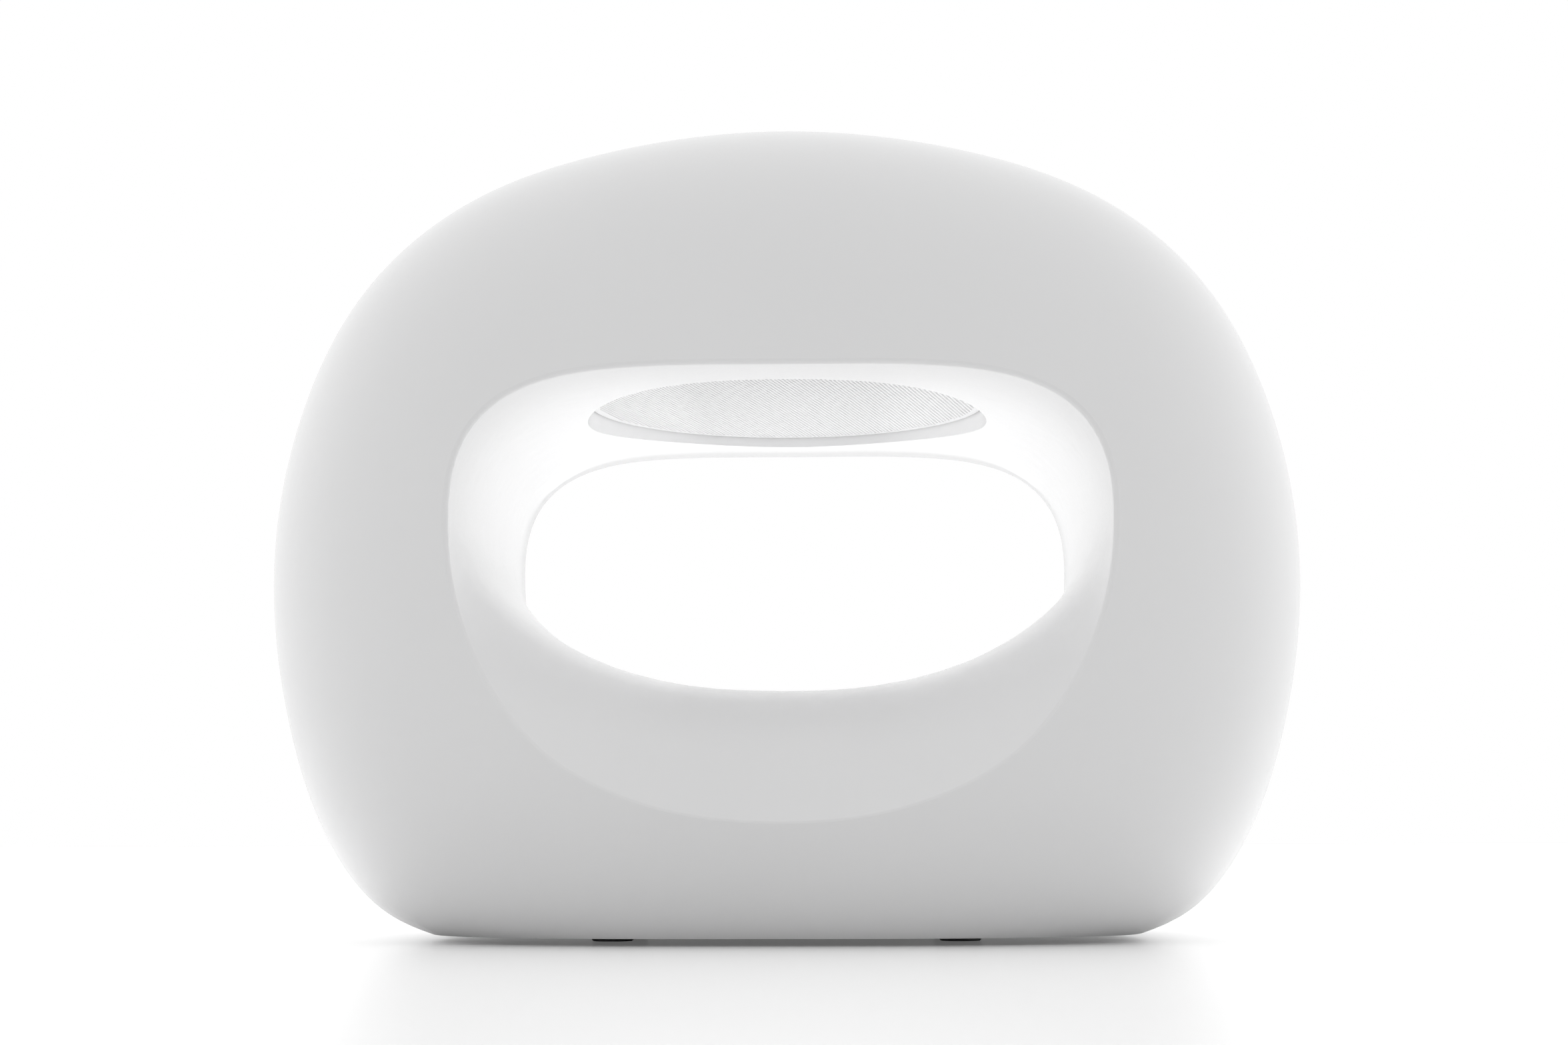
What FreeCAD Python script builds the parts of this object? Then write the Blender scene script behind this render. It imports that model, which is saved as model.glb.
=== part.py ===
import FreeCAD
import Part
import math
import os
from FreeCAD import Vector

# Outdoor speaker: a hollow white moulding in the form of a pebble with a wide tunnel from front to back.
# A round grille is let into the tunnel's ceiling, and the driver behind it plays down onto the saddle
# of the tunnel's floor. Millimetres, +Z up, Z 0 is the ground, -Y is the front, X 0 and Y 0 the middle.

os.makedirs("parts", exist_ok=True)

UP = Vector(0, 0, 1)
BACK = Vector(0, 1, 0)

# The moulding
body_width = 450.0
body_height = 356.0
body_depth = 254.0
depth_roundness = 3.6
dome_centre_z = 161.0
wall = 5.0
ground_gap = 3.0
floor_thickness = 9.0
mouth_edge_radius = 2.0

# The right half of the front outline, from under the ground line to the crown: shares of half the
# width and of the height. The points under the ground line only shape the curve where it is cut flat.
OUTLINE = (
    (0.0, -0.047), (0.35, -0.039), (0.64, -0.001), (0.77, 0.033), (0.872, 0.1073), (0.9609, 0.2544),
    (0.9991, 0.4517), (0.9493, 0.6467), (0.8249, 0.8034), (0.6151, 0.915), (0.3662, 0.972), (0.0, 1.0),
)

# How much of the outline is left in each cross-section, from the flat in the mouth to the widest one
SECTION_SCALES = (0.2, 0.34, 0.48, 0.62, 0.74, 0.84, 0.92, 0.97, 0.993)

# The tunnel: flat ceiling and straight sides, and a floor that rises from each lip to a saddle. The crown
# over the ceiling holds the driver, so the ceiling keeps its distance from the top.
tunnel_half_width = 135.5
crown_height = 120.2
tunnel_ceiling_rise = 61.8
ceiling_squareness = (4.62, 2.56)
lip_height = 30.6
lip_squareness = (1.85, 2.37)
saddle_height = 107.5
saddle_squareness = (2.45, 1.5)
saddle_steepness = 5.15
tunnel_points = 32
TUNNEL_STATIONS = (0.0, 0.31, 0.52, 0.68, 0.79, 0.87, 0.93, 0.99, 1.055, 1.12)

# The recess in the tunnel's ceiling, and the ledge that the driver hangs from
recess_radius = 91.0
recess_depth = 20.0
ledge_thickness = 6.0
driver_opening_radius = 72.5

# Grille: perforated sheet with a turned-up rim, pressed over a carrier ring
grille_inset = 4.4
grille_sheet = 1.2
grille_gap = 0.5
grille_rim_height = 8.0
grille_corner_radius = 1.0
perforated_radius = 84.0
perforation_pitch = 15.2
perforation_radius = 4.6
ring_gap = 0.3
ring_wall = 2.0
ring_foot_reach = 5.0
ring_foot_thickness = 3.0
ring_screw_count = 6
ring_screw_shank = 1.25
ring_screw_head = 2.0
ring_screw_head_height = 1.8
ring_screw_length = 7.0
ring_screw_turn = 30.0

# Driver: basket, moving parts and motor. Heights are above the front face of the basket's flange.
driver_gasket_thickness = 1.5
driver_gasket_inner = 73.0
driver_gasket_inset = 0.5
flange_radius = 81.5
flange_thickness = 3.0
basket_throat_radius = 70.0
basket_wall = 2.4
shelf_height = 25.0
shelf_outer_radius = 55.5
shelf_inner_radius = 47.0
motor_seat_height = 42.5
motor_seat_outer_radius = 46.5
motor_seat_inner_radius = 22.0
window_count = 6
window_angle = 38.0
window_margin = 4.0
driver_screw_count = 6
driver_screw_circle = 77.8
driver_screw_shank = 1.85
driver_screw_head = 3.5
driver_screw_head_height = 2.8
driver_screw_length = 10.5
insert_radius = 3.0
insert_bore = 2.0
insert_gap = 0.05
screw_hole_gap = 0.35
pilot_spare = 1.0
cut_over = 1.0

glue_gap = 0.3
surround_land_radius = 74.0
roll_outer_radius = 71.0
roll_inner_radius = 60.0
surround_sheet = 0.8
surround_inner_land_radius = 55.0
cone_thickness = 0.9
cone_lip_radius = 59.5
cone_lip_width = 3.0
cone_depth = 18.0
cone_bow = 1.6
dust_cap_radius = 18.0
dust_cap_rise = 6.0
dust_cap_thickness = 0.8
dust_cap_trim = 0.2
former_outer_radius = 13.0
former_thickness = 0.4
former_length = 35.0
winding_thickness = 0.6
winding_length = 12.0
winding_gap = 0.05
coil_clearance = 0.45
spider_sheet = 0.6
spider_waves = 4
spider_wave_height = 1.6
spider_land = 5.5
spider_inset = 1.0
top_plate_radius = 40.0
top_plate_thickness = 6.0
magnet_radius = 45.0
magnet_hole_radius = 21.0
magnet_thickness = 16.0
back_plate_radius = 42.0
back_plate_thickness = 6.0
pole_vent_radius = 4.0
tag_strip_width = 18.0
tag_strip_depth = 6.0
tag_strip_height = 8.0
tag_width = 2.8
tag_thickness = 0.8
tag_length = 7.0
tag_spacing = 9.0

# Base: cover over the service opening, feet
cover_length = 128.0
cover_width = 92.0
cover_corner = 26.0
cover_thickness = 3.0
cover_gap = 0.5
cover_ledge = 12.0
seal_thickness = 1.2
cover_screw_head = 3.7
cover_screw_head_height = 2.0
foot_radius = 9.0
foot_seat = 2.0
foot_to_cover = 2.0
foot_y = 36.0
foot_gap = 0.3
foot_chamfer = 0.6
foot_screw_head = 3.4
foot_screw_head_height = 2.0
foot_screw_sink = 3.0
foot_screw_shank = 1.7
foot_screw_length = 9.0

# Cable gland in the back, low down, on a flat spot of the moulding
gland_z = 30.0
gland_set_in = 21.5
gland_spot_radius = 13.5
gland_pad_radius = 19.0
gland_pad_thickness = 7.5
gland_thread_radius = 6.0
gland_hole_gap = 0.2
gland_washer_thickness = 1.0
gland_washer_radius = 9.6
gland_hex = 17.0
gland_hex_height = 4.0
gland_nut_height = 4.0
gland_thread_tail = 3.0
gland_bore = 3.6
gland_cap_radius = 8.0
gland_cap_height = 8.0
gland_cap_nose = 5.4
gland_cap_spare = 0.3
gland_seat_radius = 5.0
gland_seat_depth = 2.0
gland_bush_gap = 0.1
gland_bush_hole = 2.0

# Terminal block on the cover, and the cable from it up to the driver
block_length = 26.0
block_width = 16.0
block_height = 13.0
block_x = 0.0
block_step = 3.0
block_clamp_radius = 2.2
block_clamp_spacing = 10.0
block_screw_radius = 1.9
block_screw_length = 4.0
block_screw_sink = 1.0
block_well_gap = 0.2
cable_radius = 2.5
cable_end_gap = 0.3
cable_first_run = 24.0
bend_share = 0.45

# The cable's route round the right end of the tunnel. X is counted from the middle of the space between
# tunnel and outer wall. Z is counted from the ground for the lower points, from the ceiling for the upper.
CABLE_LOWER = (
    (-126.25, 0.0, 17.5), (-84.25, 4.0, 23.0), (-44.25, 2.0, 40.0), (-16.25, -3.0, 76.0),
    (-3.25, -4.0, 122.0),
)
CABLE_UPPER = (
    (1.75, 0.0, -65.8), (-4.25, 4.0, -17.8), (-26.25, 5.0, 22.2), (-58.25, 3.0, 47.2),
    (-90.25, 1.0, 56.2),
)

ceiling_z = body_height - crown_height
tunnel_side_z = ceiling_z - tunnel_ceiling_rise
ledge_z = ceiling_z + recess_depth
grille_face_z = ceiling_z + grille_inset
ring_seat_z = grille_face_z + grille_sheet
flange_z = ledge_z - driver_gasket_thickness - flange_thickness
floor_top_z = ground_gap + floor_thickness
cover_top_z = ground_gap + cover_thickness
shelf_z = cover_top_z + seal_thickness
service_length = cover_length - 2 * cover_ledge
service_width = cover_width - 2 * cover_ledge
service_corner = cover_corner - cover_ledge
foot_x = cover_length / 2 + foot_to_cover + foot_radius
gland_face_y = body_depth / 2 - gland_set_in


def ring_solid(outer, inner, z, height):
    tube = Part.makeCylinder(outer, height, Vector(0, 0, z))
    return tube.cut(Part.makeCylinder(inner, height, Vector(0, 0, z)))


def turned(points, z):
    """A solid of revolution about Z from (radius, height) points, its heights counted from z."""
    corners = [Vector(r, 0, z + h) for r, h in points]
    face = Part.Face(Part.makePolygon(corners + corners[:1]))
    return face.revolve(Vector(0, 0, 0), UP, 360)


def on_circle(shape, count, turn=0.0):
    """Copies of a shape, evenly spaced about Z."""
    copies = []
    for i in range(count):
        copy = shape.copy()
        copy.rotate(Vector(0, 0, 0), UP, turn + i * 360.0 / count)
        copies.append(copy)
    return copies


def at_places(shape, places):
    copies = []
    for x, y in places:
        copy = shape.copy()
        copy.translate(Vector(x, y, 0))
        copies.append(copy)
    return copies


def rounded_plate(length, width, corner, z, height):
    plate = Part.makeBox(length, width, height, Vector(-length / 2, -width / 2, z))
    upright = [e for e in plate.Edges if abs(e.BoundBox.ZLength - height) < 1e-6]
    return plate.makeFillet(corner, upright)


def hexagon(across_flats, y, height):
    """A hexagonal prism along Y about the gland's axis."""
    corner = across_flats / math.sqrt(3)
    points = []
    for i in range(7):
        angle = math.radians(60 * i)
        points.append(Vector(corner * math.cos(angle), y, gland_z + corner * math.sin(angle)))
    return Part.Face(Part.makePolygon(points)).extrude(Vector(0, height, 0))


def gland_rod(radius, y, length):
    return Part.makeCylinder(radius, length, Vector(0, y, gland_z), BACK)


def half_depth(scale, inset):
    """Distance from the middle plane at which the outline has shrunk to this scale."""
    return (body_depth / 2 - inset) * (1 - scale ** depth_roundness) ** (1 / depth_roundness)


def outline_wire(y, scale, inset):
    shrink = scale * (1 - inset / (body_height - dome_centre_z))
    right = [(x * body_width / 2, z * body_height - dome_centre_z) for x, z in OUTLINE]
    both = right + [(-x, z) for x, z in reversed(right[1:-1])]
    points = [Vector(x * shrink, y, dome_centre_z + z * shrink) for x, z in both]
    curve = Part.BSplineCurve()
    curve.interpolate(Points=points, PeriodicFlag=True)
    return Part.Wire([curve.toShape()])


def pebble(inset):
    """The body's outer form, or its hollow when inset by the wall."""
    front = [outline_wire(-half_depth(s, inset), s, inset) for s in SECTION_SCALES]
    back = [outline_wire(half_depth(s, inset), s, inset) for s in reversed(SECTION_SCALES)]
    return Part.makeLoft(front + [outline_wire(0, 1, inset)] + back, True, False)


def signed_power(value, exponent):
    return math.copysign(abs(value) ** exponent, value)


def tunnel_wire(y, outset):
    """Cross-section of the tunnel: its lower half drops from the saddle to the lips."""
    lip = (abs(y) / (body_depth / 2)) ** saddle_steepness
    drop = tunnel_side_z - saddle_height - (lip_height - saddle_height) * lip
    across, down = [s + (l - s) * lip for s, l in zip(saddle_squareness, lip_squareness)]
    points = []
    for i in range(tunnel_points):
        angle = 2 * math.pi * i / tunnel_points - math.pi / 2
        side = math.cos(angle)
        rise = math.sin(angle)
        if rise > -1e-9:
            x = signed_power(side, 2 / ceiling_squareness[0])
            z = (tunnel_ceiling_rise + outset) * max(rise, 0) ** (2 / ceiling_squareness[1])
        else:
            x = signed_power(side, 2 / across)
            z = (drop + outset) * signed_power(rise, 2 / down)
        points.append(Vector((tunnel_half_width + outset) * x, y, tunnel_side_z + z))
    curve = Part.BSplineCurve()
    curve.interpolate(Points=points, PeriodicFlag=True)
    return Part.Wire([curve.toShape()])


def tunnel(outset):
    places = [s * body_depth / 2 for s in TUNNEL_STATIONS]
    stations = [-y for y in reversed(places[1:])] + places
    return Part.makeLoft([tunnel_wire(y, outset) for y in stations], True, False)


def above(z):
    """Everything over a level, as a block larger than the body."""
    return Part.makeBox(2 * body_width, 2 * body_depth, 2 * body_height, Vector(-body_width, -body_depth, z))


def driver_screw_places(radius, length, z):
    shank = Part.makeCylinder(radius, length, Vector(driver_screw_circle, 0, z))
    return on_circle(shank, driver_screw_count)


def ring_outer_radius():
    return recess_radius - grille_gap - grille_sheet - ring_gap


def ring_screw_circle():
    return ring_outer_radius() - ring_wall - ring_foot_reach / 2


def ring_screw_places(radius, length, z):
    shank = Part.makeCylinder(radius, length, Vector(ring_screw_circle(), 0, z))
    return on_circle(shank, ring_screw_count, ring_screw_turn)


def cover_screw_centres():
    """Half way across the ledge: one at the middle of each long side and one at each rounded corner."""
    out = (cover_corner - cover_ledge / 2) * math.sqrt(0.5)
    x = cover_length / 2 - cover_corner + out
    y = cover_width / 2 - cover_corner + out
    corners = [(sx * x, sy * y) for sx in (-1, 1) for sy in (-1, 1)]
    middle = (cover_width - cover_ledge) / 2
    return corners + [(0, -middle), (0, middle)]


def foot_centres():
    return [(sx * foot_x, sy * foot_y) for sx in (-1, 1) for sy in (-1, 1)]


def body_shell():
    """The rotationally moulded housing, one skin round the outside and through the tunnel."""
    outside = pebble(0).common(above(ground_gap)).cut(tunnel(0))
    mouths = [e for e in outside.Edges if e.Length > body_width and e.BoundBox.ZMax > tunnel_side_z]
    outside = outside.makeFillet(mouth_edge_radius, mouths)

    hollow = pebble(wall).common(above(floor_top_z)).cut(tunnel(wall))
    cup_height = ledge_z + ledge_thickness - tunnel_side_z
    hollow = hollow.cut(Part.makeCylinder(recess_radius + wall, cup_height, Vector(0, 0, tunnel_side_z)))
    pad_y = gland_face_y - gland_pad_thickness
    hollow = hollow.cut(gland_rod(gland_pad_radius, pad_y, body_depth))
    shell = outside.cut(hollow)

    shell = shell.cut(Part.makeCylinder(recess_radius, ledge_z - tunnel_side_z, Vector(0, 0, tunnel_side_z)))
    opening_start = Vector(0, 0, ledge_z - cut_over)
    shell = shell.cut(Part.makeCylinder(driver_opening_radius, 2 * ledge_thickness, opening_start))
    shell = shell.cut(rounded_plate(cover_length, cover_width, cover_corner, 0, shelf_z))
    shell = shell.cut(rounded_plate(service_length, service_width, service_corner, 0, floor_top_z + cut_over))
    shell = shell.cut(gland_rod(gland_spot_radius, gland_face_y, body_depth))
    shell = shell.cut(gland_rod(gland_thread_radius + gland_hole_gap, gland_face_y - 2 * wall, body_depth))

    holes = driver_screw_places(insert_radius + insert_gap, ledge_thickness, ledge_z)
    holes += ring_screw_places(ring_screw_shank + insert_gap, ledge_thickness - pilot_spare, ledge_z)
    bore = Part.makeCylinder(insert_radius + insert_gap, floor_top_z - shelf_z, Vector(0, 0, shelf_z))
    holes += at_places(bore, cover_screw_centres())
    seat = Part.makeCylinder(foot_radius + foot_gap, foot_seat, Vector(0, 0, ground_gap))
    pilot = Part.makeCylinder(foot_screw_shank + insert_gap, foot_screw_length, Vector(0, 0, ground_gap))
    holes += at_places(seat.fuse(pilot), foot_centres())
    return shell.cut(holes)


def perforation_centres():
    """Centres of a triangular lattice that lie inside the perforated circle."""
    centres = []
    reach = int(perforated_radius / perforation_pitch) + 2
    for row in range(-reach, reach + 1):
        for column in range(-reach, reach + 1):
            x = (column + 0.5 * (row % 2)) * perforation_pitch
            y = row * perforation_pitch * math.sqrt(3) / 2
            if math.hypot(x, y) <= perforated_radius - perforation_radius:
                centres.append((x, y))
    return centres


def speaker_grille():
    """Flat perforated disc whose edge is turned up into a rim."""
    radius = recess_radius - grille_gap
    cup = Part.makeCylinder(radius, grille_rim_height, Vector(0, 0, grille_face_z))
    corner = [e for e in cup.Edges if abs(e.BoundBox.ZMax - grille_face_z) < 1e-6 and e.Length > radius]
    cup = cup.makeFillet(grille_corner_radius, corner)
    cup = cup.cut(Part.makeCylinder(radius - grille_sheet, grille_rim_height, Vector(0, 0, ring_seat_z)))
    hole = Part.makeCylinder(perforation_radius, 3 * grille_sheet, Vector(0, 0, grille_face_z - grille_sheet))
    return cup.cut(at_places(hole, perforation_centres()))


def grille_ring():
    """Carrier ring that stands on the ledge and holds the grille flush below the driver."""
    outer = ring_outer_radius()
    inner = outer - ring_wall
    foot_z = ledge_z - ring_foot_thickness
    ring = ring_solid(outer, inner, ring_seat_z, ledge_z - ring_seat_z)
    foot = ring_solid(inner, inner - ring_foot_reach, foot_z, ring_foot_thickness)
    ring = ring.fuse(foot).removeSplitter()
    return ring.cut(ring_screw_places(ring_screw_shank + screw_hole_gap, ring_foot_thickness, foot_z))


def ring_screw():
    x = ring_screw_circle()
    foot_z = ledge_z - ring_foot_thickness
    head_z = foot_z - ring_screw_head_height
    head = Part.makeCylinder(ring_screw_head, ring_screw_head_height, Vector(x, 0, head_z))
    return head.fuse(Part.makeCylinder(ring_screw_shank, ring_screw_length, Vector(x, 0, foot_z)))


def driver_gasket():
    z = ledge_z - driver_gasket_thickness
    gasket = ring_solid(flange_radius - driver_gasket_inset, driver_gasket_inner, z, driver_gasket_thickness)
    return gasket.cut(driver_screw_places(driver_screw_shank + screw_hole_gap, driver_gasket_thickness, z))


def driver_basket():
    """Pressed frame: flange, spoked cone, shelf for the spider and seat for the motor."""
    rise = shelf_height + basket_wall
    profile = (
        (basket_throat_radius, 0),
        (flange_radius, 0),
        (flange_radius, flange_thickness),
        (basket_throat_radius + basket_wall, flange_thickness),
        (shelf_outer_radius + basket_wall, rise),
        (shelf_inner_radius + basket_wall, rise),
        (motor_seat_outer_radius, motor_seat_height),
        (motor_seat_inner_radius, motor_seat_height),
        (motor_seat_inner_radius, motor_seat_height - basket_wall),
        (motor_seat_outer_radius - basket_wall, motor_seat_height - basket_wall),
        (shelf_inner_radius, shelf_height),
        (shelf_outer_radius, shelf_height),
    )
    basket = turned(profile, flange_z)
    low = flange_z + flange_thickness + window_margin
    high = flange_z + shelf_height - window_margin
    side = Part.makePolygon([
        Vector(shelf_inner_radius, 0, low), Vector(flange_radius, 0, low),
        Vector(flange_radius, 0, high), Vector(shelf_inner_radius, 0, high),
        Vector(shelf_inner_radius, 0, low),
    ])
    window = Part.Face(side).revolve(Vector(0, 0, 0), UP, window_angle)
    basket = basket.cut(on_circle(window, window_count, -window_angle / 2))
    return basket.cut(driver_screw_places(driver_screw_shank + screw_hole_gap, flange_thickness, flange_z))


def driver_screw():
    under_head = Vector(driver_screw_circle, 0, flange_z)
    low = under_head - UP * driver_screw_head_height
    head = Part.makeCylinder(driver_screw_head, driver_screw_head_height, low)
    return head.fuse(Part.makeCylinder(driver_screw_shank, driver_screw_length, under_head))


def driver_insert():
    outer = Part.makeCylinder(insert_radius, ledge_thickness, Vector(driver_screw_circle, 0, ledge_z))
    return outer.cut(Part.makeCylinder(insert_bore, ledge_thickness, Vector(driver_screw_circle, 0, ledge_z)))


def surround():
    """Rubber half roll between flange and cone, bulging towards the grille."""
    middle = (roll_outer_radius + roll_inner_radius) / 2
    inner = (roll_outer_radius - roll_inner_radius) / 2
    outer = inner + surround_sheet

    def at(r, h):
        return Vector(r, 0, flange_z + h)

    land = surround_land_radius
    inner_land = surround_inner_land_radius
    skin = -surround_sheet
    edges = [
        Part.LineSegment(at(land, 0), at(middle + inner, 0)),
        Part.Arc(at(middle + inner, 0), at(middle, -inner), at(middle - inner, 0)),
        Part.LineSegment(at(middle - inner, 0), at(inner_land, 0)),
        Part.LineSegment(at(inner_land, 0), at(inner_land, skin)),
        Part.LineSegment(at(inner_land, skin), at(middle - outer, skin)),
        Part.Arc(at(middle - outer, skin), at(middle, -outer), at(middle + outer, skin)),
        Part.LineSegment(at(middle + outer, skin), at(land, skin)),
        Part.LineSegment(at(land, skin), at(land, 0)),
    ]
    section = Part.Face(Part.Wire([e.toShape() for e in edges]))
    return section.revolve(Vector(0, 0, 0), UP, 360)


def cone_height(radius):
    """Height of the cone's front face at a radius, with the slight bow of a pressed cone."""
    start = cone_lip_radius - cone_lip_width
    share = (start - radius) / (start - former_outer_radius)
    return glue_gap + cone_depth * share + cone_bow * 4 * share * (1 - share)


def cone():
    lip_in = cone_lip_radius - cone_lip_width
    neck = former_outer_radius
    middle = (lip_in + neck) / 2
    top = cone_height(neck)
    sheet = cone_thickness
    lip_top = glue_gap + sheet

    def at(r, h):
        return Vector(r, 0, flange_z + h)

    edges = [
        Part.Arc(at(lip_in, glue_gap), at(middle, cone_height(middle)), at(neck, top)),
        Part.LineSegment(at(neck, top), at(neck, top + sheet)),
        Part.Arc(at(neck, top + sheet), at(middle, cone_height(middle) + sheet), at(lip_in, lip_top)),
        Part.LineSegment(at(lip_in, lip_top), at(cone_lip_radius, lip_top)),
        Part.LineSegment(at(cone_lip_radius, lip_top), at(cone_lip_radius, glue_gap)),
        Part.LineSegment(at(cone_lip_radius, glue_gap), at(lip_in, glue_gap)),
    ]
    section = Part.Face(Part.Wire([e.toShape() for e in edges]))
    return section.revolve(Vector(0, 0, 0), UP, 360)


def dust_cap():
    """Shallow dome over the former's end, its rim on the cone."""
    rim_height = cone_height(dust_cap_radius) - dust_cap_thickness
    sphere = (dust_cap_radius ** 2 + dust_cap_rise ** 2) / (2 * dust_cap_rise)
    centre = flange_z + rim_height - dust_cap_rise + sphere
    dome = Part.makeSphere(sphere, Vector(0, 0, centre))
    dome = dome.cut(Part.makeSphere(sphere - dust_cap_thickness, Vector(0, 0, centre)))
    lowest = Vector(0, 0, flange_z + rim_height - dust_cap_rise)
    return dome.common(Part.makeCylinder(dust_cap_radius - dust_cap_trim, dust_cap_rise, lowest))


def voice_coil_former():
    z = flange_z + cone_height(former_outer_radius) + cone_thickness
    return ring_solid(former_outer_radius, former_outer_radius - former_thickness, z, former_length)


def voice_coil():
    inner = former_outer_radius + winding_gap
    middle = flange_z + motor_seat_height + top_plate_thickness / 2
    return ring_solid(inner + winding_thickness, inner, middle - winding_length / 2, winding_length)


def spider():
    """Corrugated disc that centres the former, glued under the shelf."""
    top = shelf_height - glue_gap
    start = former_outer_radius + glue_gap
    edge = shelf_outer_radius - spider_inset
    end = edge - spider_land
    step = (end - start) / (2 * spider_waves)
    upper = [(edge, top)]
    for i in range(2 * spider_waves + 1):
        upper.append((end - i * step, top - (spider_wave_height if i % 2 else 0)))
    lower = [(r, h - spider_sheet) for r, h in reversed(upper)]
    return turned(upper + lower, flange_z)


def gap_radius():
    return former_outer_radius + winding_gap + winding_thickness + coil_clearance


def top_plate():
    return ring_solid(top_plate_radius, gap_radius(), flange_z + motor_seat_height, top_plate_thickness)


def magnet():
    z = flange_z + motor_seat_height + top_plate_thickness
    return ring_solid(magnet_radius, magnet_hole_radius, z, magnet_thickness)


def back_plate():
    """Turned yoke: disc and pole in one, with a vent through the pole."""
    pole_radius = former_outer_radius - former_thickness - coil_clearance
    base = flange_z + motor_seat_height
    height = top_plate_thickness + magnet_thickness
    disc = Part.makeCylinder(back_plate_radius, back_plate_thickness, Vector(0, 0, base + height))
    pole = Part.makeCylinder(pole_radius, height, Vector(0, 0, base))
    yoke = disc.fuse(pole)
    return yoke.cut(Part.makeCylinder(pole_vent_radius, height + back_plate_thickness, Vector(0, 0, base)))


def tag_strip_x():
    return shelf_inner_radius + basket_wall + tag_strip_depth / 2 + glue_gap


def driver_tag_strip():
    """Insulating block on the shelf's back that carries the two solder tags."""
    z = flange_z + shelf_height + basket_wall
    corner = Vector(tag_strip_x() - tag_strip_depth / 2, -tag_strip_width / 2, z)
    return Part.makeBox(tag_strip_depth, tag_strip_width, tag_strip_height, corner)


def driver_tags():
    x = tag_strip_x() + tag_strip_depth / 2
    z = flange_z + shelf_height + basket_wall + tag_strip_height / 2
    tags = []
    for side in (-1, 1):
        y = side * tag_spacing / 2 - tag_width / 2
        tags.append(Part.makeBox(tag_length, tag_width, tag_thickness, Vector(x, y, z)))
    return Part.makeCompound(tags)


def base_cover():
    """Flat cover over the service opening, let in flush with the moulding's underside."""
    length = cover_length - 2 * cover_gap
    width = cover_width - 2 * cover_gap
    cover = rounded_plate(length, width, cover_corner - cover_gap, ground_gap, cover_thickness)
    hole = Part.makeCylinder(driver_screw_shank + screw_hole_gap, cover_thickness, Vector(0, 0, ground_gap))
    sink = Part.makeCone(
        cover_screw_head + screw_hole_gap, driver_screw_shank + screw_hole_gap,
        cover_screw_head_height, Vector(0, 0, ground_gap)
    )
    return cover.cut(at_places(hole.fuse(sink), cover_screw_centres()))


def base_seal():
    length = cover_length - 2 * cover_gap
    width = cover_width - 2 * cover_gap
    seal = rounded_plate(length, width, cover_corner - cover_gap, cover_top_z, seal_thickness)
    seal = seal.cut(rounded_plate(service_length, service_width, service_corner, cover_top_z, seal_thickness))
    hole = Part.makeCylinder(driver_screw_shank + screw_hole_gap, seal_thickness, Vector(0, 0, cover_top_z))
    return seal.cut(at_places(hole, cover_screw_centres()))


def base_screw():
    low = Vector(0, 0, ground_gap)
    head = Part.makeCone(cover_screw_head, driver_screw_shank, cover_screw_head_height, low)
    length = floor_top_z - ground_gap - cover_screw_head_height
    z = ground_gap + cover_screw_head_height
    return head.fuse(Part.makeCylinder(driver_screw_shank, length, Vector(0, 0, z)))


def base_insert():
    height = floor_top_z - shelf_z
    outer = Part.makeCylinder(insert_radius, height, Vector(0, 0, shelf_z))
    return outer.cut(Part.makeCylinder(insert_bore, height, Vector(0, 0, shelf_z)))


def rubber_foot():
    """Round foot let into the moulding, with a sunk hole for its screw."""
    height = ground_gap + foot_seat
    foot = Part.makeCylinder(foot_radius, height, Vector(0, 0, 0))
    rim = [e for e in foot.Edges if abs(e.BoundBox.ZMax) < 1e-6 and e.Length > foot_radius]
    foot = foot.makeChamfer(foot_chamfer, rim)
    foot = foot.cut(Part.makeCylinder(foot_screw_head + screw_hole_gap, foot_screw_sink, Vector(0, 0, 0)))
    return foot.cut(Part.makeCylinder(foot_screw_shank + screw_hole_gap, height, Vector(0, 0, 0)))


def foot_screw():
    z = foot_screw_sink - foot_screw_head_height
    head = Part.makeCylinder(foot_screw_head, foot_screw_head_height, Vector(0, 0, z))
    length = ground_gap + foot_screw_length - foot_screw_sink - pilot_spare
    return head.fuse(Part.makeCylinder(foot_screw_shank, length, Vector(0, 0, foot_screw_sink)))


def gland_washer():
    washer = gland_rod(gland_washer_radius, gland_face_y, gland_washer_thickness)
    return washer.cut(gland_rod(gland_thread_radius + gland_hole_gap, gland_face_y, gland_washer_thickness))


def gland_body():
    """Threaded tail through the moulding, hexagon outside, and a seat for the rubber bush."""
    hex_y = gland_face_y + gland_washer_thickness
    tail = gland_pad_thickness + gland_nut_height + gland_thread_tail
    body = hexagon(gland_hex, hex_y, gland_hex_height)
    body = body.fuse(gland_rod(gland_thread_radius, gland_face_y - tail, tail + gland_washer_thickness))
    body = body.fuse(gland_rod(gland_thread_radius, hex_y + gland_hex_height, gland_cap_height / 2))
    body = body.cut(gland_rod(gland_bore, gland_face_y - tail, body_depth))
    return body.cut(gland_rod(gland_seat_radius, hex_y + gland_hex_height - gland_seat_depth, body_depth))


def gland_nut():
    y = gland_face_y - gland_pad_thickness - gland_nut_height
    nut = hexagon(gland_hex, y, gland_nut_height)
    return nut.cut(gland_rod(gland_thread_radius + gland_hole_gap, y, gland_nut_height))


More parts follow.
